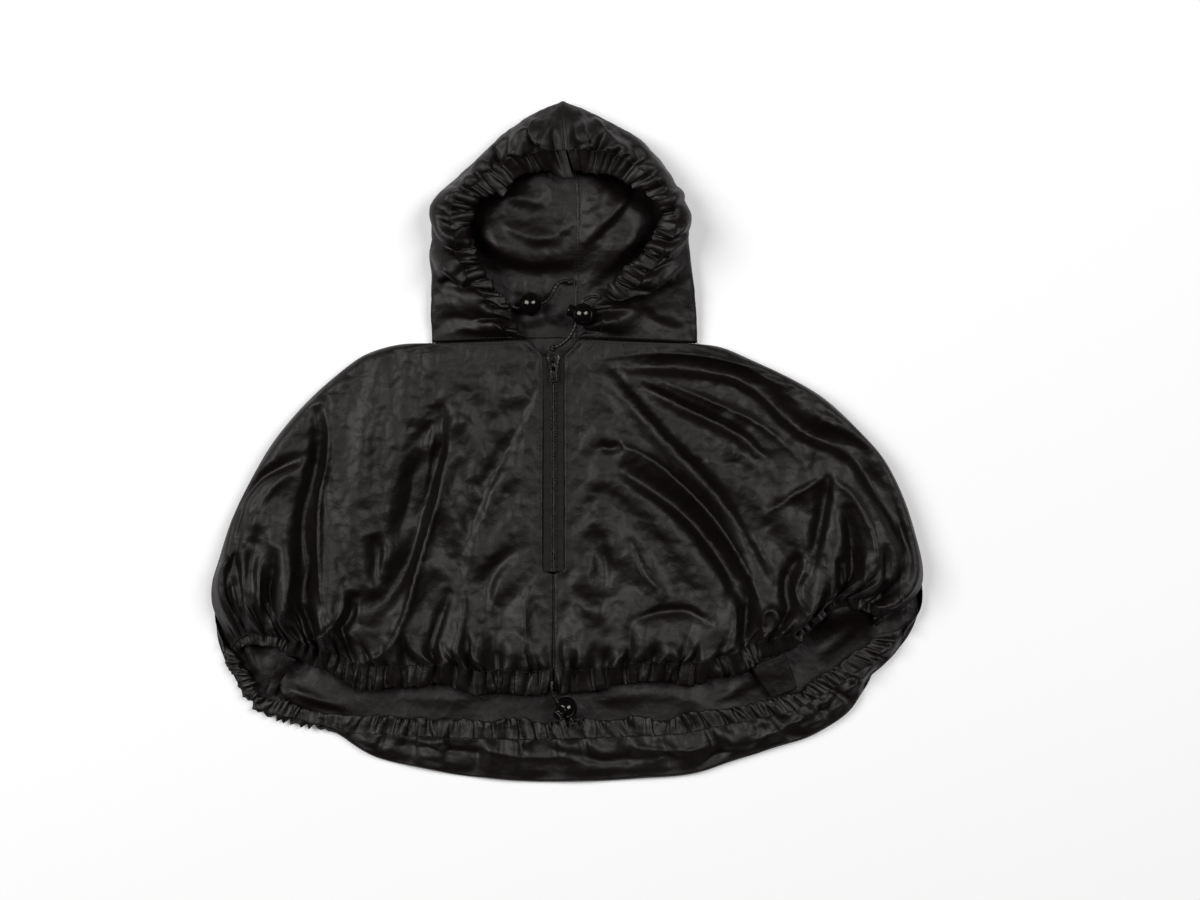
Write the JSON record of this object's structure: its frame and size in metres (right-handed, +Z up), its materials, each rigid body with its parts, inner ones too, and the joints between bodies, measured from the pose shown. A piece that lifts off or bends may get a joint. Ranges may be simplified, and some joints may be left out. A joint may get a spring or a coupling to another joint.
{
  "type": "hooded rain poncho laid flat",
  "caption": "Cropped hooded rain poncho in thin black nylon, laid flat face up, with a half zip, elastic gathered hem and arm openings, and ball cord locks.",
  "frame": {"origin": "centre of the garment's outline, on the surface that it lies on", "axes": "+X to the garment's right as seen from above, +Y from the hem to the hood's peak, +Z up from the table"},
  "size_m": [0.5919, 0.5653, 0.0352],
  "materials": {
    "nylon": "thin glossy nylon taffeta, black",
    "zip_tape": "woven polyester zip tape, matt black",
    "black_plastic": "moulded black plastic, glossy",
    "cord": "round braided elastic cord, black"
  },
  "bodies": {
    "poncho": {"front_left": "nylon", "front_right": "nylon", "back_panel": "nylon", "hood_left": "nylon", "hood_right": "nylon", "hood_casing_left": "nylon", "hood_casing_right": "nylon", "hem_front_left": "nylon", "hem_front_right": "nylon", "cuff_front_left": "nylon", "cuff_front_right": "nylon", "hem_back": "nylon", "cuff_back_left": "nylon", "cuff_back_right": "nylon", "strap_left": "nylon", "strap_right": "nylon", "zip_tape_left": "zip_tape", "zip_tape_right": "zip_tape", "zip_chain": "black_plastic", "zip_slider": "black_plastic", "lock_hood_left": "black_plastic", "lock_hood_right": "black_plastic", "lock_hem": "black_plastic", "cord_hood_left": "cord", "cord_hood_right": "cord", "cord_hem": "cord", "knot_hood_left": "cord", "knot_hood_right": "cord", "knot_hem": "cord"},
    "pull_tab": {"zip_pull_tab": "black_plastic"},
    "plunger_hood_left": {"plunger_hood_left": "black_plastic"},
    "plunger_hood_right": {"plunger_hood_right": "black_plastic"},
    "plunger_hem": {"plunger_hem": "black_plastic"}
  },
  "joints": [
    {"name": "pull_tab_hinge", "type": "hinge", "parent": "poncho", "child": "pull_tab", "pos_m": [-0.0116, 0.0626, 0.0182], "axis": [-1, 0, 0], "range_deg": [0, 150]},
    {"name": "plunger_hood_left_press", "type": "slide", "parent": "poncho", "child": "plunger_hood_left", "axis": [-0.049, 0.4334, 0.8999], "range_m": [0, 0.0025], "stiffness_N_per_m": 200, "springref_m": -0.002},
    {"name": "plunger_hood_right_press", "type": "slide", "parent": "poncho", "child": "plunger_hood_right", "axis": [0.9528, -0.2977, -0.0599], "range_m": [0, 0.0025], "stiffness_N_per_m": 200, "springref_m": -0.002},
    {"name": "plunger_hem_press", "type": "slide", "parent": "poncho", "child": "plunger_hem", "axis": [0.5267, 0.395, -0.7527], "range_m": [0, 0.0025], "stiffness_N_per_m": 200, "springref_m": -0.002}
  ]
}
